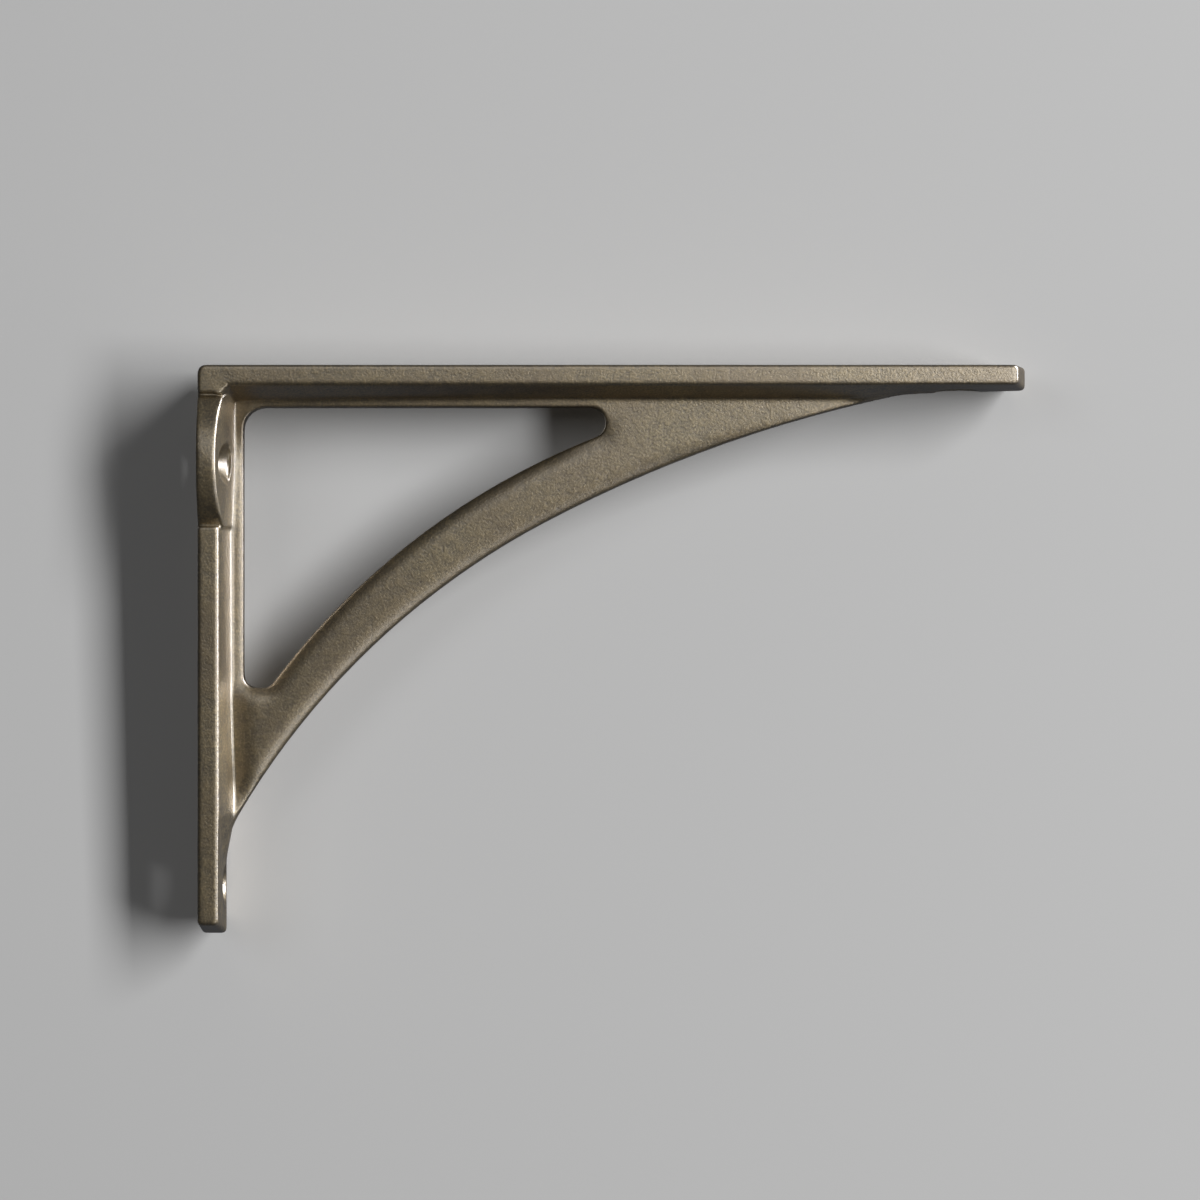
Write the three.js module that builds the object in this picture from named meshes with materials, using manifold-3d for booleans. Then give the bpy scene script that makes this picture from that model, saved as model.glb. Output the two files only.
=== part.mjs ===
// Cast iron shelf bracket, one sand casting in antique bronze paint.
//
// Two flat strips meet at a right angle: one screws to the wall, the other carries the shelf.
// A web with an arched brace and one large opening stiffens them. The mould parted on the
// middle plane of the web, so every inner face, end and web edge slopes away from that plane.
//
// Millimetres, +X away from the wall, +Y across the strips, +Z up. Outlines are drawn in the
// XZ plane with the shelf face at z = 0, and the finished casting is lifted so that the
// origin lies on the wall face at half height.

import * as THREE from 'three';
import { mergeVertices } from 'three/addons/utils/BufferGeometryUtils.js';
import Module from 'manifold-3d';

// Overall sizes
const REACH = 203.2;
const HEIGHT = 139.7;
const STRIP_WIDTH = 23;

// Strip thicknesses: at the cast edge, where the web joins, and on the ridge past the web
const WALL_EDGE = 5.1;
const WALL_ROOT = 7.6;
const WALL_ROOT_AT_FOOT = 8.1;
const WALL_RIDGE = 6.2;
const SHELF_EDGE = 4.95;
const SHELF_ROOT_AT_WALL = 8.5;
const SHELF_ROOT = 7.9;
const SHELF_ROOT_TAPER = 80;
const SHELF_RIDGE = 6.7;
const SHELF_RIDGE_AT_END = 5.9;

// Strip edges and ends
const ARRIS = 0.7;
const OUTER_CORNER = 2;
const INNER_CORNER = 1.2;
const END_CORNER = 1.1;
const END_DRAFT = 2.8;

// Web
const WEB_THICKNESS = 6.4;
const WEB_DRAFT = 0.75;
const PARTING_LAND = 0.4;

// Bare ends of the strips beyond the web
const FOOT_LEDGE = 23.9;
const TIP_LEDGE = 29.7;

// Outer edge of the brace: two tangent arcs. The angles are those of the arch's radii.
const ARCH_FOOT_AT = THREE.MathUtils.degToRad(151.3);
const ARCS_MEET_AT = THREE.MathUtils.degToRad(117.8);
const ARCH_TIP_AT = THREE.MathUtils.degToRad(101.47);

// Inner edge of the brace: one arc through the brace's widths at three radii of the arch
const BRACE_WIDTH_LOW = 11.05;
const BRACE_WIDTH_MIDDLE = 13.37;
const BRACE_WIDTH_HIGH = 13.45;
const WIDTH_LOW_AT = THREE.MathUtils.degToRad(145);
const WIDTH_MIDDLE_AT = THREE.MathUtils.degToRad(130);
const WIDTH_HIGH_AT = THREE.MathUtils.degToRad(114.2);

// Radii that lead the brace's outer edge into the strips
const FOOT_BLEND = 22;
const TIP_BLEND = 24;

// Lengths over which each strip's root fades to its ridge, and the web's tip sinks into the strip
const FOOT_FADE = 11;
const TIP_FADE = 11;
const TIP_RUNOUT = 14;

// Opening in the web, measured on the parting plane, with the solid web left below it
const WALL_RIM = 3;
const SHELF_RIM = 1.65;
const SOLID_FOOT = 36.8;
const TOP_CORNER_RADIUS = 5.4;
const FOOT_CORNER_RADIUS = 3;
const NOSE_RADIUS = 3.67;

// Ears: the two round lobes of the wall strip that hold the upper screws
const EAR_TOP = 6.8;
const EAR_LENGTH = 32.8;
const EAR_HALF_WIDTH = 15.9;
const EAR_END_HALF_WIDTH = 9.6;
const EAR_EDGE = 4.7;
const EAR_ROOT = 8.2;

// Countersunk screw holes
const SCREW_HOLE = 4.8;
const SCREW_HEAD = 9.6;
const EAR_SCREW_DROP = 24;
const EAR_SCREW_OFFSET = 9.2;
const FOOT_SCREW_RISE = 12;
const SHELF_SCREW_SETBACK = 16.8;

// How finely curves are cut into straight pieces
const CHORD_ERROR = 0.02;
const HOLE_SIDES = 40;
const EAR_SIDES = 20;
const CORNER_STEPS = 4;
const EDGE_STEPS = 3;

// How far a cutter passes the face that it leaves by, and a joined piece sinks into its host
const PAST = 1;

// Corners closer than this are one corner
const WELD = 1e-5;

const HALF_WIDTH = STRIP_WIDTH / 2;
const WEB_HALF = WEB_THICKNESS / 2;
const FOOT_DROP = HEIGHT - FOOT_LEDGE;
const TIP_REACH = REACH - TIP_LEDGE;
const OPENING_DROP = FOOT_DROP - SOLID_FOOT;

const bronzePaint = new THREE.MeshStandardMaterial({ color: 0x6f6450, roughness: 0.48, metalness: 0.75 });

const wasm = await Module();
wasm.setup();

const polar = (centre, radius, angle) =>
  new THREE.Vector2(centre.x + radius * Math.cos(angle), centre.y + radius * Math.sin(angle));

// Points along an arc in a given number of pieces, both ends included
function arcInPieces(centre, radius, from, to, pieces) {
  const angles = Array.from({ length: pieces + 1 }, (_, i) => THREE.MathUtils.lerp(from, to, i / pieces));
  return angles.map((angle) => polar(centre, radius, angle));
}

// The same in as many pieces as keep it close to the true curve
function arc(centre, radius, from, to) {
  const step = 2 * Math.acos(1 - CHORD_ERROR / Math.max(radius, 2 * CHORD_ERROR));
  return arcInPieces(centre, radius, from, to, Math.max(2, Math.ceil(Math.abs(to - from) / step)));
}

const angleTo = (from, to) => Math.atan2(to.y - from.y, to.x - from.x);

// Outer edge of the brace, from the wall strip's ridge up to the shelf strip's ridge. The
// radii are those that take two tangent arcs between these ends at the given angles.
function outerArcs() {
  const foot = new THREE.Vector2(WALL_RIDGE, -FOOT_DROP);
  const tip = new THREE.Vector2(TIP_REACH, -SHELF_RIDGE);
  const normal = (angle) => polar(new THREE.Vector2(), 1, angle);
  const lowWay = normal(ARCS_MEET_AT).sub(normal(ARCH_FOOT_AT));
  const highWay = normal(ARCH_TIP_AT).sub(normal(ARCS_MEET_AT));
  const span = tip.clone().sub(foot);
  const lowRadius = span.cross(highWay) / lowWay.cross(highWay);
  const highRadius = lowWay.cross(span) / lowWay.cross(highWay);
  return {
    low: { centre: polar(foot, -lowRadius, ARCH_FOOT_AT), radius: lowRadius },
    high: { centre: polar(tip, -highRadius, ARCH_TIP_AT), radius: highRadius },
  };
}

// Circle through three points
function circleThrough(a, b, c) {
  const ab = b.clone().sub(a);
  const ac = c.clone().sub(a);
  const toCentre = new THREE.Vector2(
    ac.y * ab.lengthSq() - ab.y * ac.lengthSq(),
    ab.x * ac.lengthSq() - ac.x * ab.lengthSq(),
  ).divideScalar(2 * ab.cross(ac));
  return { centre: toCentre.clone().add(a), radius: toCentre.length() };
}

// Inner edge of the brace
function innerArc({ low, high }) {
  return circleThrough(
    polar(low.centre, low.radius + BRACE_WIDTH_LOW, WIDTH_LOW_AT),
    polar(low.centre, low.radius + BRACE_WIDTH_MIDDLE, WIDTH_MIDDLE_AT),
    polar(high.centre, high.radius + BRACE_WIDTH_HIGH, WIDTH_HIGH_AT),
  );
}

// Web outline on the parting plane. It runs into both strips, which hide that part of it.
function webOutline({ low, high }) {
  const footBlend = new THREE.Vector2(WALL_RIDGE + FOOT_BLEND, 0);
  const footReach = low.radius - FOOT_BLEND;
  footBlend.y = low.centre.y + Math.sqrt(footReach ** 2 - (footBlend.x - low.centre.x) ** 2);
  const tipBlend = new THREE.Vector2(0, -SHELF_RIDGE - TIP_BLEND);
  const tipReach = high.radius - TIP_BLEND;
  tipBlend.x = high.centre.x - Math.sqrt(tipReach ** 2 - (tipBlend.y - high.centre.y) ** 2);
  const footBlendEnd = angleTo(low.centre, footBlend);
  const tipBlendStart = angleTo(high.centre, tipBlend);

  const wallSide = WALL_EDGE / 2;
  const shelfSide = -SHELF_EDGE / 2;
  return [
    new THREE.Vector2(wallSide, shelfSide),
    new THREE.Vector2(wallSide, footBlend.y),
    ...arc(footBlend, FOOT_BLEND, Math.PI, footBlendEnd),
    ...arc(low.centre, low.radius, footBlendEnd, ARCS_MEET_AT).slice(1),
    ...arc(high.centre, high.radius, ARCS_MEET_AT, tipBlendStart).slice(1),
    ...arc(tipBlend, TIP_BLEND, tipBlendStart, Math.PI / 2).slice(1),
    new THREE.Vector2(tipBlend.x + TIP_RUNOUT, -SHELF_EDGE),
    new THREE.Vector2(tipBlend.x + TIP_RUNOUT, shelfSide),
  ];
}

// Opening on the parting plane: two straight sides, a short foot and the brace's inner arc
function openingOutline({ centre, radius }) {
  const left = WALL_ROOT + WALL_RIM;
  const top = -SHELF_ROOT_AT_WALL - SHELF_RIM;
  const corner = new THREE.Vector2(left + TOP_CORNER_RADIUS, top - TOP_CORNER_RADIUS);
  const nose = new THREE.Vector2(0, top - NOSE_RADIUS);
  nose.x = centre.x - Math.sqrt((radius + NOSE_RADIUS) ** 2 - (nose.y - centre.y) ** 2);
  const foot = new THREE.Vector2(0, -OPENING_DROP + FOOT_CORNER_RADIUS);
  foot.x = centre.x - Math.sqrt((radius + FOOT_CORNER_RADIUS) ** 2 - (foot.y - centre.y) ** 2);
  const heel = new THREE.Vector2(left + FOOT_CORNER_RADIUS, foot.y);
  return [
    ...arc(corner, TOP_CORNER_RADIUS, Math.PI, Math.PI / 2),
    ...arc(nose, NOSE_RADIUS, Math.PI / 2, angleTo(nose, centre)),
    ...arc(centre, radius, angleTo(centre, nose), angleTo(centre, foot)).slice(1),
    ...arc(foot, FOOT_CORNER_RADIUS, angleTo(foot, centre), -Math.PI / 2).slice(1),
    ...arc(heel, FOOT_CORNER_RADIUS, -Math.PI / 2, -Math.PI),
  ];
}

// Both strips as one outline at a distance from the middle plane, drawn in by an inset.
// Every such outline has the same number of points, so that neighbours can be joined.
function stripOutline(distance, inset) {
  const toWeb = (HALF_WIDTH - Math.max(distance, WEB_HALF)) / (HALF_WIDTH - WEB_HALF);
  const toRidge = (HALF_WIDTH - distance) / HALF_WIDTH;
  const wallAtWeb = THREE.MathUtils.lerp(WALL_EDGE, WALL_ROOT, toWeb) - inset;
  const wallAtFoot = THREE.MathUtils.lerp(WALL_EDGE, WALL_ROOT_AT_FOOT, toWeb) - inset;
  const wallPastWeb = THREE.MathUtils.lerp(WALL_EDGE, WALL_RIDGE, toRidge) - inset;
  const shelfAtWall = THREE.MathUtils.lerp(SHELF_EDGE, SHELF_ROOT_AT_WALL, toWeb) - inset;
  const shelfAtWeb = THREE.MathUtils.lerp(SHELF_EDGE, SHELF_ROOT, toWeb) - inset;
  const shelfPastWeb = THREE.MathUtils.lerp(SHELF_EDGE, SHELF_RIDGE, toRidge) - inset;
  const shelfAtEnd = THREE.MathUtils.lerp(SHELF_EDGE, SHELF_RIDGE_AT_END, toRidge) - inset;
  const drawnBack = (END_DRAFT * distance) / HALF_WIDTH + inset;
  const end = REACH - drawnBack;
  const bottom = -HEIGHT + drawnBack;

  const right = Math.PI / 2;
  const corner = (x, z, radius, from, to) =>
    arcInPieces(new THREE.Vector2(x, z), radius, from, to, CORNER_STEPS);
  const innerX = wallAtWeb + INNER_CORNER;
  return [
    ...corner(OUTER_CORNER, -OUTER_CORNER, OUTER_CORNER - inset, right, Math.PI),
    ...corner(inset + END_CORNER, bottom + END_CORNER, END_CORNER, -Math.PI, -right),
    ...corner(wallPastWeb - END_CORNER, bottom + END_CORNER, END_CORNER, -right, 0),
    new THREE.Vector2(wallPastWeb, -FOOT_DROP - FOOT_FADE / 2),
    new THREE.Vector2(wallAtFoot, -FOOT_DROP + FOOT_FADE / 2),
    ...corner(innerX, -shelfAtWall - INNER_CORNER, INNER_CORNER, Math.PI, right),
    new THREE.Vector2(innerX + SHELF_ROOT_TAPER, -shelfAtWeb),
    new THREE.Vector2(TIP_REACH - TIP_FADE, -shelfAtWeb),
    new THREE.Vector2(TIP_REACH, -shelfPastWeb),
    ...corner(end - END_CORNER, -shelfAtEnd + END_CORNER, END_CORNER, -right, 0),
    ...corner(end - END_CORNER, -inset - END_CORNER, END_CORNER, 0, right),
  ];
}

// Solid skinned over outlines that stand one behind the other along Y
function skin(outlines, places) {
  const count = outlines[0].length;
  const positions = outlines.flatMap((outline, i) => outline.flatMap((p) => [p.x, places[i], p.y]));
  const faces = [];
  for (let i = 0; i + 1 < outlines.length; i += 1) {
    for (let j = 0; j < count; j += 1) {
      const near = i * count + j;
      const nearNext = i * count + ((j + 1) % count);
      faces.push([near, near + count, nearNext], [nearNext, near + count, nearNext + count]);
    }
  }
  const last = (outlines.length - 1) * count;
  for (const [a, b, c] of THREE.ShapeUtils.triangulateShape(outlines[0], [])) faces.push([a, b, c]);
  for (const [a, b, c] of THREE.ShapeUtils.triangulateShape(outlines.at(-1), [])) {
    faces.push([last + c, last + b, last + a]);
  }
  const geometry = new THREE.BufferGeometry();
  geometry.setAttribute('position', new THREE.Float32BufferAttribute(positions, 3));
  geometry.setIndex(faces.flat());
  return geometry;
}

// Geometry to solid: shared corners are merged and collapsed triangles dropped
function solid(geometry) {
  const bare = geometry.clone();
  bare.deleteAttribute('normal');
  bare.deleteAttribute('uv');
  const merged = mergeVertices(bare, WELD);
  const index = merged.index.array;
  const kept = [];
  for (let i = 0; i < index.length; i += 3) {
    const [a, b, c] = index.slice(i, i + 3);
    if (a !== b && b !== c && c !== a) kept.push(a, b, c);
  }
  return new wasm.Manifold(new wasm.Mesh({
    numProp: 3,
    vertProperties: Float32Array.from(merged.attributes.position.array),
    triVerts: Uint32Array.from(kept),
  }));
}

// The two strips, with rounded arrises along their cast edges
function strips() {
  const edgeSteps = Array.from({ length: EDGE_STEPS + 1 }, (_, i) => ((Math.PI / 2) * i) / EDGE_STEPS);
  const levels = edgeSteps.map((turn) => ({
    distance: HALF_WIDTH - ARRIS * (1 - Math.cos(turn)),
    inset: ARRIS * (1 - Math.sin(turn)),
  }));
  levels.push({ distance: WEB_HALF, inset: 0 });
  const near = levels.map(({ distance, inset }) => [-distance, stripOutline(distance, inset)]);
  const far = levels.map(({ distance, inset }) => [distance, stripOutline(distance, inset)]).reverse();
  const all = [...near, [0, stripOutline(0, 0)], ...far];
  return solid(skin(all.map(([, outline]) => outline), all.map(([place]) => place)));
}

// The web, full size on its parting land and narrower by the draft at its faces
function web() {
  const outer = outerArcs();
  const shape = new THREE.Shape(webOutline(outer));
  shape.holes.push(new THREE.Path(openingOutline(innerArc(outer))));
  const geometry = new THREE.ExtrudeGeometry(shape, {
    depth: PARTING_LAND,
    bevelThickness: WEB_HALF - PARTING_LAND / 2,
    bevelSize: WEB_DRAFT,
    bevelOffset: -WEB_DRAFT,
    bevelSegments: EDGE_STEPS,
  });
  geometry.translate(0, 0, -PARTING_LAND / 2).rotateX(Math.PI / 2);
  return solid(geometry);
}

// Both ears as one oval across the wall strip, cut off above and below, sloping to its edges
function ears() {
  const half = EAR_LENGTH / 2;
  const spread = Math.acos(EAR_END_HALF_WIDTH / EAR_HALF_WIDTH);
  const halfHeight = half / Math.sin(spread);
  const side = (from, to) =>
    new THREE.EllipseCurve(0, -EAR_TOP - half, EAR_HALF_WIDTH, halfHeight, from, to).getPoints(EAR_SIDES);
  const oval = new THREE.Shape([...side(-spread, spread), ...side(Math.PI - spread, Math.PI + spread)]);
  const blank = new THREE.ExtrudeGeometry(oval, { depth: EAR_ROOT + PAST, bevelEnabled: false });
  const ovalToWall = new THREE.Matrix4().makeBasis(
    new THREE.Vector3(0, 1, 0), new THREE.Vector3(0, 0, 1), new THREE.Vector3(1, 0, 0));
  blank.applyMatrix4(ovalToWall);

  const slope = new THREE.Shape([
    new THREE.Vector2(0, -EAR_HALF_WIDTH),
    new THREE.Vector2(EAR_EDGE, -EAR_HALF_WIDTH),
    new THREE.Vector2(EAR_ROOT, -WEB_HALF),
    new THREE.Vector2(EAR_ROOT, WEB_HALF),
    new THREE.Vector2(EAR_EDGE, EAR_HALF_WIDTH),
    new THREE.Vector2(0, EAR_HALF_WIDTH),
  ]);
  const wedge = new THREE.ExtrudeGeometry(slope, { depth: EAR_LENGTH + 2 * PAST, bevelEnabled: false });
  wedge.translate(0, 0, -EAR_TOP - EAR_LENGTH - PAST);
  return solid(blank).intersect(solid(wedge));
}

// What the ears replace at the edges of the wall strip, on one side of the middle plane
function earGap(side) {
  const across = HALF_WIDTH - EAR_END_HALF_WIDTH + PAST;
  const box = new THREE.BoxGeometry(WALL_ROOT + 2 * PAST, across, EAR_LENGTH);
  box.translate(WALL_ROOT / 2, side * (EAR_END_HALF_WIDTH + across / 2), -EAR_TOP - EAR_LENGTH / 2);
  return solid(box);
}

// Cutter for a countersunk hole: its axis runs along +Z and its head opens at the height "face"
function screwCutter(face) {
  const hole = SCREW_HOLE / 2;
  const head = SCREW_HEAD / 2;
  const profile = [
    [0, -PAST],
    [hole, -PAST],
    [hole, face - (head - hole)],
    [head + PAST, face + PAST],
    [0, face + PAST],
  ].map(([r, h]) => new THREE.Vector2(r, h));
  return new THREE.LatheGeometry(profile, HOLE_SIDES).rotateX(Math.PI / 2);
}

// The four screw holes: one in each ear, one in the foot of the wall strip, one under the shelf
function screwHoles() {
  const earSlope = (EAR_ROOT - EAR_EDGE) / (EAR_HALF_WIDTH - WEB_HALF);
  const earFace = EAR_EDGE + earSlope * (EAR_HALF_WIDTH - EAR_SCREW_OFFSET);
  const headSink = (WALL_RIDGE - WALL_EDGE) / HALF_WIDTH * SCREW_HEAD / 2;
  const wallHoles = [
    { face: earFace, y: -EAR_SCREW_OFFSET, z: -EAR_SCREW_DROP },
    { face: earFace, y: EAR_SCREW_OFFSET, z: -EAR_SCREW_DROP },
    { face: WALL_RIDGE - headSink, y: 0, z: -HEIGHT + FOOT_SCREW_RISE },
  ];
  const cutters = wallHoles.map(({ face, y, z }) =>
    screwCutter(face).rotateY(Math.PI / 2).translate(0, y, z));
  const shelfFace = SHELF_RIDGE_AT_END - headSink;
  cutters.push(screwCutter(shelfFace).rotateX(Math.PI).translate(REACH - SHELF_SCREW_SETBACK, 0, 0));
  return cutters.map(solid);
}

function casting() {
  let body = strips();
  for (const side of [-1, 1]) body = body.subtract(earGap(side));
  body = body.add(ears()).add(web());
  for (const cutter of screwHoles()) body = body.subtract(cutter);
  const { vertProperties, triVerts } = body.getMesh();
  const geometry = new THREE.BufferGeometry();
  geometry.setAttribute('position', new THREE.BufferAttribute(vertProperties, 3));
  geometry.setIndex(new THREE.BufferAttribute(triVerts, 1));
  geometry.computeVertexNormals();
  return geometry;
}

const shelfBracket = new THREE.Group();
const bracket = new THREE.Mesh(casting(), bronzePaint);
bracket.name = 'bracket_casting';
bracket.position.z = HEIGHT / 2;
shelfBracket.add(bracket);

export default shelfBracket;
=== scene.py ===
import math

import bmesh
import bpy
import numpy as np
from mathutils import Matrix, Vector, noise
from mathutils.kdtree import KDTree


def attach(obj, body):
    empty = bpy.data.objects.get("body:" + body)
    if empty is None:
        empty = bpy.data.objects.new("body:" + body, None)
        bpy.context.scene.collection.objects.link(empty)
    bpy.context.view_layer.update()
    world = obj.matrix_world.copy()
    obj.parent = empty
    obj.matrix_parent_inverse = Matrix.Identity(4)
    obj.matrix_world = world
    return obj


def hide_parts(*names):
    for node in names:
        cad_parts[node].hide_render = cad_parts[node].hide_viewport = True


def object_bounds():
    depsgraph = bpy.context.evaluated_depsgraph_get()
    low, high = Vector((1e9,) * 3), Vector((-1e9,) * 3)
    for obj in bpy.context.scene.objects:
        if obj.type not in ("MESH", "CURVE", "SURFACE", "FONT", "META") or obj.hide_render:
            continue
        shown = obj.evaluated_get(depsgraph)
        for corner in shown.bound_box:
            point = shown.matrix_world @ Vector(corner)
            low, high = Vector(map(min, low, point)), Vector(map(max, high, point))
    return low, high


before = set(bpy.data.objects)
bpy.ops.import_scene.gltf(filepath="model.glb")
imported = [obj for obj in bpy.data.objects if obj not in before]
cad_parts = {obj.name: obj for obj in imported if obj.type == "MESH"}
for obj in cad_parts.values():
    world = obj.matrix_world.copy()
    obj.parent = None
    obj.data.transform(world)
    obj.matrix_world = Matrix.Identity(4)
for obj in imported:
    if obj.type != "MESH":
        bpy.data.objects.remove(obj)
cad_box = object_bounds()

MM = 0.001

# The casting's skin: its fineness, rounds of smoothing, and the unevenness of the sand
SKIN_STEP = 0.3 * MM
SKIN_TRIANGLES = 190_000
ARRIS_SOFTENING = 6
HOLLOW_SOFTENING = 22
BODY_SOFTENING = 100
SMOOTHING_PER_ROUND = 0.5
MERGE_WITHIN = 0.002 * MM
WAVE_HEIGHT = 0.05 * MM
WAVE_LENGTH = 11 * MM
PEEL_HEIGHT = 0.012 * MM
PEEL_LENGTH = 2.2 * MM

# How far the surface stands out, in mm, where a hollow turns into an arris, and where the ears' hollows start
ARRIS_STANDS_OUT = (-0.1, 0.05)
HOLLOW_STANDS_IN = (0.02, 0.12)

# The web: half its thickness, and where it is
WEB_HALF = 3.2 * MM
WEB_FROM_X = 3 * MM
WEB_TO_X = 172 * MM
WEB_FOOT_Z = -43 * MM
WEB_UNDER_SHELF_FACE = 3 * MM
WEB_STARTS_AT_X = 8.6 * MM

# The web's shaping fades out at its foot and tip, and between two distances from its middle plane
WEB_FOOT_FADE = 12 * MM
WEB_TIP_FADE = 5 * MM
WEB_FACES_END = (WEB_HALF * 1.05, WEB_HALF * 1.35)
WEB_FACES_WITHIN = WEB_HALF * 1.4

# The web's outline: corners of the mesh this near its middle plane that face along the plane
OUTLINE_WITHIN = 0.6 * MM
OUTLINE_TURN = 0.5

# How far the web's faces fall away towards its edges and the wall strip
EDGE_FALL = 1.35 * MM
EDGE_FALL_WIDTH = 5.5 * MM
EDGE_FALL_CURVE = 2.5
FOOT_FALL = 0.8 * MM
FOOT_FALL_WIDTH = 6 * MM
FOOT_FALL_CURVE = 2
FOOT_FALL_REACH = (1.9, 1.35)
FOOT_FALL_REACH_HEIGHTS = (28 * MM, 36 * MM)
LOW_FALL = 1.1 * MM
LOW_FALL_WIDTH = 12 * MM
LOW_FALL_HEIGHTS = (-38 * MM, -18 * MM)
FALL_ENDS_UNDER_SHELF_FACE = (11 * MM, 24 * MM)
DRAFT_TAKEN_OFF = 0.7
DRAFT_WIDTH = 2.2 * MM

# The strips' inner corner: its place at the strips' rims and at the web, and the fillet that fills it
RIM_CORNER = (5.4 * MM, 11.5 * MM, 5.3 * MM)
WEB_CORNER = (8.0 * MM, 3.2 * MM, 8.8 * MM)
CORNER_FILL = 1.3 * MM
CORNER_FILL_WIDTH = 2.6 * MM

# The ears are softer than the rest, and so are their hollows and the countersinks where they meet the web
EARS_FROM = (11.6 * MM, 13.0 * MM)
EAR_HOLLOWS_FROM = (10.2 * MM, 11.2 * MM)
COUNTERSINK_BY_WEB = (7.4 * MM, 4.2 * MM, 45.85 * MM)
COUNTERSINK_SOFTENING = (1.2 * MM, 3.2 * MM)

# The wall strip's inner face is a little hollow at the web, between these heights and distances from the wall
FACE_BOW = 0.55 * MM
FACE_BOW_HEIGHTS = (-39 * MM, -12 * MM, 27 * MM, 50 * MM)
FACE_BOW_FROM_X = (4 * MM, 6 * MM)
FACE_BOW_TO_X = (WEB_CORNER[0] + 0.8 * MM, WEB_CORNER[0] + 2.2 * MM)

# A painted highlight along the line where the wall strip meets the web: its strength, and where it is
PAINTED_LINE_SHINE = 2.4
LINE_TO_X = 9.6 * MM
LINE_DEPTH = 5.5 * MM
LINE_HEIGHTS = (-43 * MM, 59 * MM)

# Lacquer: its colours, among them a painted highlight and a painted shade, and the sizes of its pattern
BROWN_DARK = (0.215, 0.149, 0.047)
BROWN_LIGHT = (0.34, 0.24, 0.086)
BROWN_CLOUD = (0.235, 0.146, 0.045)
GRAIN_LIGHT = (0.52, 0.385, 0.165)
GRAIN_DARK = (0.12, 0.08, 0.025)
# Lighter colour on the arrises, and the painted highlight along the line where the wall strip meets the web
LIGHT_ARRIS_AND_PAINTED_SHINE = (0.60, 0.52, 0.36)
# Painted shade in the ears' hollows
PAINTED_HOLLOW_SHADE = (0.05, 0.034, 0.012)
GRAIN_SIZE = 0.55 * MM
MOTTLE_SIZE = 2.6 * MM
CLOUD_SIZE = 22 * MM
GRAIN_BUMP = 0.05 * MM
MOTTLE_BUMP = 0.06 * MM

# Camera: square to the web, one metre from its middle plane
CAMERA_PLACE = Vector((98.31, -1000, 12.37)) * MM
CAMERA_LENS = 121.56

# Floor that the bracket lies on: how it rises along X and Z, and what colour it throws back at the bracket
FLOOR_AT_EAR = Vector((2, 16.05, 46)) * MM
FLOOR_RISES = (-0.026, 0.038)
FLOOR_SIZE = 6
FLOOR_GREY = 0.55
FLOOR_THROWS_BACK = (0.15, 0.165, 0.20)

# Lamps: place of the middle, width, height, power and colour
BRACKET_MIDDLE = Vector((101.6, 0, 0)) * MM
NEUTRAL = (1, 1, 1)
COOL = (0.80, 0.85, 1)
BRACKET_LAMPS = {
    "side": (Vector((2.60, -0.20, 0.70)), 0.6, 1.6, 71, COOL),
    "high side": (Vector((2.00, -0.60, 1.70)), 0.8, 0.8, 56, COOL),
    "right": (Vector((2.20, -1.25, 0.70)), 0.6, 1.6, 7.4, COOL),
    "sheen": (Vector((0.50, -0.82, 0.12)), 0.35, 0.45, 1.7, NEUTRAL),
    "front": (Vector((0.10, -2.10, 0.80)), 0.8, 0.8, 2.2, NEUTRAL),
    "low": (Vector((1.40, -1.90, -1.20)), 0.8, 0.8, 4.6, NEUTRAL),
    "back": (Vector((-0.80, 1.80, 0.60)), 1.2, 1.2, 8, NEUTRAL),
}
FLOOR_LAMPS = {
    "key": (Vector((1.92, -1.90, 0.50)), 0.62, 2.3, 85, NEUTRAL),
    "fill": (Vector((-1.60, -2.20, 0.80)), 1.2, 1.2, 9.5, NEUTRAL),
}
ROOM_LIGHT = 0.03
ROOM_SEEN = 0.5


def softened(mesh, rounds):
    """Corner places of a mesh after a number of rounds of smoothing."""
    piece = bpy.data.objects.new("softening", mesh)
    bpy.context.scene.collection.objects.link(piece)
    smooth = piece.modifiers.new("soften", "SMOOTH")
    smooth.factor = SMOOTHING_PER_ROUND
    smooth.iterations = rounds
    evaluated = piece.evaluated_get(bpy.context.evaluated_depsgraph_get())
    places = corner_places(evaluated.data)
    bpy.data.objects.remove(piece)
    return places


def corner_places(mesh):
    places = np.empty(len(mesh.vertices) * 3)
    mesh.vertices.foreach_get("co", places)
    return places.reshape(-1, 3)


def corner_normals(mesh):
    normals = np.empty(len(mesh.vertices) * 3)
    mesh.vertex_normals.foreach_get("vector", normals)
    return normals.reshape(-1, 3)


def with_modifier(mesh, kind, **settings):
    """A new mesh: the given one after one modifier."""
    piece = bpy.data.objects.new("shaping", mesh)
    bpy.context.scene.collection.objects.link(piece)
    modifier = piece.modifiers.new("shape", kind)
    for name, value in settings.items():
        setattr(modifier, name, value)
    evaluated = piece.evaluated_get(bpy.context.evaluated_depsgraph_get())
    made = bpy.data.meshes.new_from_object(evaluated)
    bpy.data.objects.remove(piece)
    return made


def merged_copy(node):
    """The solid's own triangles with their shared corners merged."""
    shape = bmesh.new()
    shape.from_mesh(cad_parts[node].data)
    bmesh.ops.remove_doubles(shape, verts=shape.verts, dist=MERGE_WITHIN)
    mesh = bpy.data.meshes.new(node + "_copy")
    shape.to_mesh(mesh)
    shape.free()
    return mesh


def smooth_step(values, low, high):
    share = np.clip((values - low) / (high - low), 0, 1)
    return share * share * (3 - 2 * share)


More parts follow.
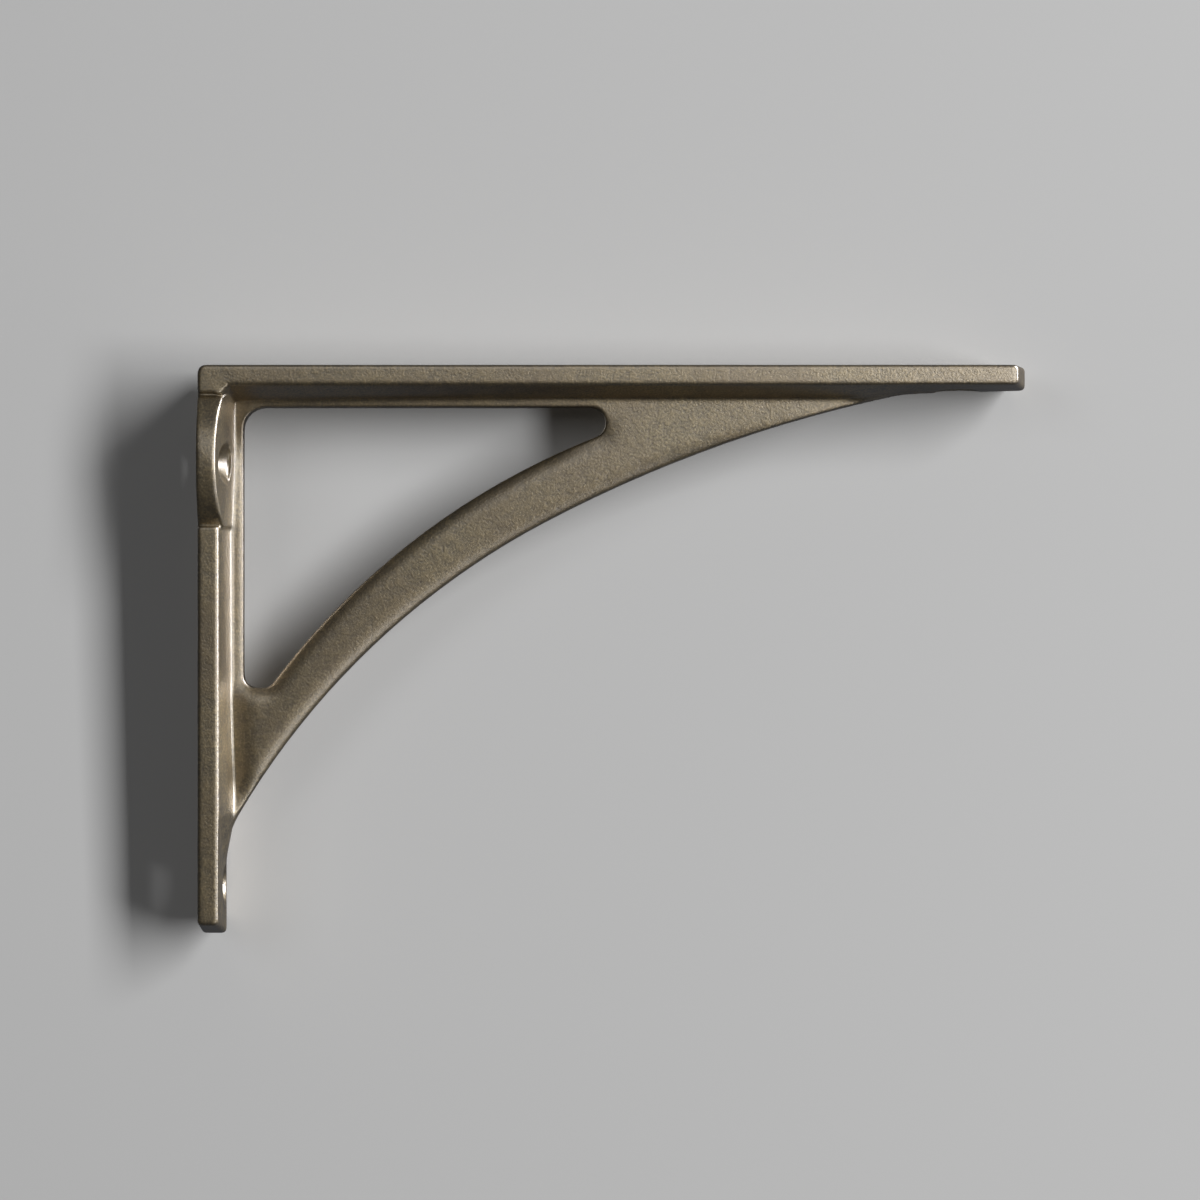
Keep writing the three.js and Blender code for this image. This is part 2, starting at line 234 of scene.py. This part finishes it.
def cast_skin():
    """The casting with soft arrises, a cushioned web and the faint waves of sand."""
    step = SKIN_STEP
    skin = with_modifier(merged_copy("bracket_casting"), "REMESH", mode="VOXEL", voxel_size=step)
    hollow = softened(skin, HOLLOW_SOFTENING)
    arris = softened(skin, ARRIS_SOFTENING)
    deep = softened(skin, BODY_SOFTENING)
    skin.vertices.foreach_set("co", arris.ravel())
    skin.update()
    normals = corner_normals(skin)
    rounding = ((arris - deep) * normals).sum(axis=1) / MM
    places = hollow + (arris - hollow) * smooth_step(rounding, *ARRIS_STANDS_OUT)[:, None]
    depth = np.abs(places[:, 1])
    ear_hollow = smooth_step(depth, *EAR_HOLLOWS_FROM) * smooth_step(-rounding, *HOLLOW_STANDS_IN)
    softer = np.maximum.reduce([smooth_step(depth, *EARS_FROM), ear_hollow, by_countersink(places)])
    places += (hollow - places) * softer[:, None]
    shape_web(places, normals)
    shape_strips(places)
    places += normals * waves(places)[:, None]
    skin.vertices.foreach_set("co", places.ravel())
    # The edge attribute carries painted shade into the ears' hollows and a painted highlight onto the line by
    # the web
    write_edge(skin, rounding, ear_hollow - PAINTED_LINE_SHINE * line_by_web(places))
    skin.update()
    return thinned(skin)


def write_edge(skin, rounding, painted_shade_and_shine):
    """An attribute above zero on an arris and on the line by the web, where the material paints a lighter
    colour and a highlight, and below zero in the ears' hollows, where it paints shade.
    """
    edge = skin.attributes.new("edge", "FLOAT", "POINT")
    shade = np.where(rounding > 0, rounding, rounding * painted_shade_and_shine)
    edge.data.foreach_set("value", shade.astype(np.float32))


def thinned(skin):
    """The skin brought down to its limit of triangles."""
    triangles = sum(len(face.vertices) - 2 for face in skin.polygons)
    if triangles > SKIN_TRIANGLES:
        skin = with_modifier(skin, "DECIMATE", ratio=SKIN_TRIANGLES / triangles)
    skin.name = "casting"
    for face in skin.polygons:
        face.use_smooth = True
    return skin


def by_countersink(places):
    """How near each corner of the mesh is to the side of an ear's countersink that meets the web."""
    x, depth, z = places[:, 0], np.abs(places[:, 1]), places[:, 2]
    sink_x, sink_depth, sink_z = COUNTERSINK_BY_WEB
    away = np.hypot(np.hypot(x - sink_x, depth - sink_depth), z - sink_z)
    return 1 - smooth_step(away, *COUNTERSINK_SOFTENING)


def line_by_web(places):
    """Which corners of the mesh are where the wall strip meets the web, where a highlight is painted."""
    x, depth, z = places[:, 0], np.abs(places[:, 1]), places[:, 2]
    low, high = LINE_HEIGHTS
    return (x < LINE_TO_X) & (depth < LINE_DEPTH) & (z > low) & (z < high)


def corner_fill(places):
    """How far each corner of the mesh belongs to the filled inner corner of the two strips."""
    inwards = (RIM_CORNER[1] - np.abs(places[:, 1])) / (RIM_CORNER[1] - WEB_CORNER[1])
    corner_x = RIM_CORNER[0] + inwards * (WEB_CORNER[0] - RIM_CORNER[0])
    corner_drop = RIM_CORNER[2] + inwards * (WEB_CORNER[2] - RIM_CORNER[2])
    away = np.hypot(places[:, 0] - corner_x, cad_box[1].z - places[:, 2] - corner_drop)
    return (1 - smooth_step(away, 0, CORNER_FILL_WIDTH)) * np.clip(1 - inwards, 0, 1)


def face_bow(places):
    """How much of the wall strip's inner face is missing at each corner of the mesh."""
    x, depth, z = places[:, 0], np.abs(places[:, 1]), places[:, 2]
    low, low_full, high_full, high = FACE_BOW_HEIGHTS
    height = smooth_step(z, low, low_full) * (1 - smooth_step(z, high_full, high))
    inwards = 1 - smooth_step(depth, WEB_CORNER[1], RIM_CORNER[1])
    on_face = smooth_step(x, *FACE_BOW_FROM_X) * (1 - smooth_step(x, *FACE_BOW_TO_X))
    return FACE_BOW * height * inwards * on_face


def shape_strips(places):
    """Fills the strips' inner corner evenly towards both strips, and hollows the wall strip's inner face."""
    fill = CORNER_FILL * corner_fill(places) * math.sqrt(0.5)
    places[:, 0] += fill - face_bow(places)
    places[:, 2] -= fill


def nearest_outline(places, normals, in_web):
    """The place on the web's outline nearest to each corner of the mesh, and how far away it is."""
    x, depth, z = places[:, 0], np.abs(places[:, 1]), places[:, 2]
    on_outline = in_web & (depth < OUTLINE_WITHIN) & (np.abs(normals[:, 1]) < OUTLINE_TURN)
    outline = KDTree(int(on_outline.sum()))
    for index, place in enumerate(places[on_outline]):
        outline.insert((place[0], 0, place[2]), index)
    outline.balance()
    nearest = places.copy()
    to_edge = np.full(len(places), EDGE_FALL_WIDTH)
    for index in np.flatnonzero(in_web & (depth < WEB_FACES_WITHIN)):
        nearest[index], _, to_edge[index] = outline.find((x[index], 0, z[index]))
    return nearest, to_edge


def shape_web(places, normals):
    """Cushions the web's faces, and brings their arrises out to the web's outline."""
    x, depth, z = places[:, 0], np.abs(places[:, 1]), places[:, 2]
    in_web = (x > WEB_FROM_X) & (x < WEB_TO_X)
    in_web &= (z > WEB_FOOT_Z) & (z < cad_box[1].z - WEB_UNDER_SHELF_FACE)
    nearest, to_edge = nearest_outline(places, normals, in_web)
    by_web = in_web * smooth_step(z, WEB_FOOT_Z, WEB_FOOT_Z + WEB_FOOT_FADE)
    by_web *= 1 - smooth_step(x, WEB_TO_X - WEB_TIP_FADE, WEB_TO_X)
    on_web = by_web * (1 - smooth_step(depth, *WEB_FACES_END))

    outwards = DRAFT_TAKEN_OFF * (1 - smooth_step(to_edge, 0, DRAFT_WIDTH)) * on_web
    for axis in (0, 2):
        places[:, axis] += (nearest[:, axis] - places[:, axis]) * outwards
    to_edge *= 1 - outwards

    from_edge = np.clip(1 - to_edge / EDGE_FALL_WIDTH, 0, 1)
    from_strip = np.maximum(x - WEB_STARTS_AT_X, 0)
    from_foot = np.clip(1 - from_strip / FOOT_FALL_WIDTH, 0, 1)
    from_low = np.clip(1 - from_strip / LOW_FALL_WIDTH, 0, 1) * (1 - smooth_step(z, *LOW_FALL_HEIGHTS))
    under_shelf = smooth_step(cad_box[1].z - z, *FALL_ENDS_UNDER_SHELF_FACE)
    wide, narrow = FOOT_FALL_REACH
    reach = WEB_HALF * (wide + (narrow - wide) * smooth_step(z, *FOOT_FALL_REACH_HEIGHTS))
    by_strip = by_web * (1 - smooth_step(depth, WEB_FACES_END[0], reach))
    inwards = EDGE_FALL * from_edge ** EDGE_FALL_CURVE * under_shelf * on_web
    beside_strip = FOOT_FALL * from_foot ** FOOT_FALL_CURVE + LOW_FALL * from_low ** FOOT_FALL_CURVE
    inwards += beside_strip * by_strip
    places[:, 1] -= np.sign(places[:, 1]) * inwards * np.minimum(depth / WEB_HALF, 1)


def waves(places):
    """Heights of the sand mould's unevenness, never outwards past the solid."""
    lows = np.array([noise.noise(Vector(p)) for p in places / WAVE_LENGTH])
    peel = np.array([noise.noise(Vector(p)) for p in places / PEEL_LENGTH])
    return (lows - 1) / 2 * WAVE_HEIGHT + (peel - 1) / 2 * PEEL_HEIGHT


def node(tree, kind, **settings):
    made = tree.nodes.new(kind)
    for name, value in settings.items():
        setattr(made, name, value)
    return made


def noise_node(tree, coordinates, size, detail=2.0, roughness=0.5):
    """Noise whose grains are about the given size."""
    made = node(tree, "ShaderNodeTexNoise")
    made.inputs["Scale"].default_value = 1 / size
    made.inputs["Detail"].default_value = detail
    made.inputs["Roughness"].default_value = roughness
    tree.links.new(coordinates, made.inputs["Vector"])
    return made.outputs["Fac"]


def ranged(tree, value, low, high, out_low=0.0, out_high=1.0):
    made = node(tree, "ShaderNodeMapRange", interpolation_type="SMOOTHSTEP")
    made.inputs["From Min"].default_value = low
    made.inputs["From Max"].default_value = high
    made.inputs["To Min"].default_value = out_low
    made.inputs["To Max"].default_value = out_high
    tree.links.new(value, made.inputs["Value"])
    return made.outputs["Result"]


def mixed(tree, factor, first, second):
    """Mix of two colours, each a colour or a socket."""
    made = node(tree, "ShaderNodeMix", data_type="RGBA")
    tree.links.new(factor, made.inputs["Factor"])
    for value, socket in ((first, made.inputs[6]), (second, made.inputs[7])):
        if isinstance(value, tuple):
            socket.default_value = (*value, 1)
        else:
            tree.links.new(value, socket)
    return made.outputs[2]


def bronze_lacquer():
    """Bronze-brown metallic lacquer over cast iron: fine mottling, orange peel, lighter arrises, a painted
    highlight along the line by the web and painted shade in the ears' hollows.
    """
    material = bpy.data.materials.new("bronze_lacquer")
    material.use_nodes = True
    tree = material.node_tree
    shader = tree.nodes["Principled BSDF"]
    places = node(tree, "ShaderNodeTexCoord").outputs["Object"]
    edge = node(tree, "ShaderNodeAttribute", attribute_name="edge").outputs["Fac"]

    grain = noise_node(tree, places, GRAIN_SIZE, detail=3)
    mottle = noise_node(tree, places, MOTTLE_SIZE, detail=3, roughness=0.6)
    cloud = noise_node(tree, places, CLOUD_SIZE)

    brown = mixed(tree, ranged(tree, mottle, low=0.3, high=0.7), BROWN_DARK, BROWN_LIGHT)
    brown = mixed(tree, ranged(tree, grain, low=0.45, high=0.75), brown, GRAIN_LIGHT)
    brown = mixed(tree, ranged(tree, grain, low=0.45, high=0.25), brown, GRAIN_DARK)
    brown = mixed(tree, ranged(tree, cloud, low=0.35, high=0.65, out_high=0.4), brown, BROWN_CLOUD)
    # Lighter on the arrises, and a painted highlight on the line where the wall strip meets the web
    brown = mixed(tree, ranged(tree, edge, low=0.2, high=0.9, out_high=0.6), brown, LIGHT_ARRIS_AND_PAINTED_SHINE)
    # Painted shade in the ears' hollows
    brown = mixed(tree, ranged(tree, edge, low=-0.05, high=-0.3, out_high=0.8), brown, PAINTED_HOLLOW_SHADE)
    roughness = ranged(tree, mottle, low=0.25, high=0.75, out_low=0.42, out_high=0.48)
    tree.links.new(brown, shader.inputs["Base Color"])
    tree.links.new(roughness, shader.inputs["Roughness"])
    shader.inputs["Metallic"].default_value = 1
    shader.inputs["Coat Weight"].default_value = 0.9
    shader.inputs["Coat Roughness"].default_value = 0.35
    shader.inputs["Coat IOR"].default_value = 3

    off_arris = ranged(tree, edge, low=0.12, high=0.4, out_low=1, out_high=0.35)
    fine = node(tree, "ShaderNodeBump")
    fine.inputs["Distance"].default_value = GRAIN_BUMP
    tree.links.new(grain, fine.inputs["Height"])
    tree.links.new(off_arris, fine.inputs["Strength"])
    broad = node(tree, "ShaderNodeBump")
    broad.inputs["Distance"].default_value = MOTTLE_BUMP
    tree.links.new(mottle, broad.inputs["Height"])
    tree.links.new(off_arris, broad.inputs["Strength"])
    tree.links.new(fine.outputs["Normal"], broad.inputs["Normal"])
    tree.links.new(broad.outputs["Normal"], shader.inputs["Normal"])
    tree.links.new(broad.outputs["Normal"], shader.inputs["Coat Normal"])
    return material


def bracket():
    skin = cast_skin()
    skin.materials.clear()
    skin.materials.append(bronze_lacquer())
    casting = bpy.data.objects.new("casting", skin)
    bpy.context.scene.collection.objects.link(casting)
    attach(casting, "root")
    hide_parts("bracket_casting")
    return casting


def pale_floor():
    """Plain floor under the bracket as it lies, open to a camera or lamp on its far side."""
    shape = bmesh.new()
    bmesh.ops.create_grid(shape, x_segments=1, y_segments=1, size=FLOOR_SIZE / 2)
    bmesh.ops.rotate(shape, verts=shape.verts, matrix=Matrix.Rotation(math.radians(90), 3, "X"))
    for corner in shape.verts:
        away = corner.co - FLOOR_AT_EAR
        corner.co.y = FLOOR_AT_EAR.y + FLOOR_RISES[0] * away.x + FLOOR_RISES[1] * away.z
    mesh = bpy.data.meshes.new("pale_floor")
    shape.to_mesh(mesh)
    shape.free()
    mesh.materials.append(floor_paint())
    floor = bpy.data.objects.new("pale_floor", mesh)
    bpy.context.scene.collection.objects.link(floor)
    floor.visible_shadow = False
    return floor


def floor_paint():
    material = bpy.data.materials.new("floor_paint")
    material.use_nodes = True
    tree = material.node_tree
    matt = tree.nodes["Principled BSDF"]
    seen = node(tree, "ShaderNodeLightPath").outputs["Is Camera Ray"]
    dull = tuple(FLOOR_GREY * part for part in FLOOR_THROWS_BACK)
    tree.links.new(mixed(tree, seen, dull, (FLOOR_GREY,) * 3), matt.inputs["Base Color"])
    matt.inputs["Roughness"].default_value = 1
    matt.inputs["Specular IOR Level"].default_value = 0.1
    clear = node(tree, "ShaderNodeBsdfTransparent")
    chosen = node(tree, "ShaderNodeMixShader")
    tree.links.new(node(tree, "ShaderNodeNewGeometry").outputs["Backfacing"], chosen.inputs["Fac"])
    tree.links.new(matt.outputs["BSDF"], chosen.inputs[1])
    tree.links.new(clear.outputs["BSDF"], chosen.inputs[2])
    tree.links.new(chosen.outputs["Shader"], tree.nodes["Material Output"].inputs["Surface"])
    return material


def soft_lamps(lamps, lit):
    """Upright area lamps that face the middle of the bracket and light one thing alone."""
    only = bpy.data.collections.new("lit_" + lit.name)
    only.objects.link(lit)
    for name, (place, width, height, power, colour) in lamps.items():
        light = bpy.data.lights.new(name, "AREA")
        light.shape = "RECTANGLE"
        light.size = width
        light.size_y = height
        light.energy = power
        light.color = colour
        lamp = bpy.data.objects.new(name, light)
        lamp.location = place
        lamp.rotation_mode = "QUATERNION"
        lamp.rotation_quaternion = (BRACKET_MIDDLE - place).to_track_quat("-Z", "Y")
        lamp.visible_camera = False
        lamp.light_linking.receiver_collection = only
        bpy.context.scene.collection.objects.link(lamp)


def room():
    """Dim even light, and a pale grey where a camera looks past the floor."""
    world = bpy.data.worlds.new("room")
    world.use_nodes = True
    tree = world.node_tree
    dim = tree.nodes["Background"]
    dim.inputs["Color"].default_value = (1, 1, 1, 1)
    dim.inputs["Strength"].default_value = ROOM_LIGHT
    seen = node(tree, "ShaderNodeBackground")
    seen.inputs["Strength"].default_value = ROOM_SEEN
    chosen = node(tree, "ShaderNodeMixShader")
    tree.links.new(node(tree, "ShaderNodeLightPath").outputs["Is Camera Ray"], chosen.inputs["Fac"])
    tree.links.new(dim.outputs["Background"], chosen.inputs[1])
    tree.links.new(seen.outputs["Background"], chosen.inputs[2])
    tree.links.new(chosen.outputs["Shader"], tree.nodes["World Output"].inputs["Surface"])
    bpy.context.scene.world = world


def camera():
    lens = bpy.data.cameras.new("camera")
    lens.lens = CAMERA_LENS
    made = bpy.data.objects.new("camera", lens)
    made.location = CAMERA_PLACE
    made.rotation_euler = (math.radians(90), 0, 0)
    bpy.context.scene.collection.objects.link(made)
    bpy.context.scene.camera = made


soft_lamps(BRACKET_LAMPS, bracket())
soft_lamps(FLOOR_LAMPS, pale_floor())
room()
camera()
bpy.context.scene.view_settings.view_transform = "Standard"
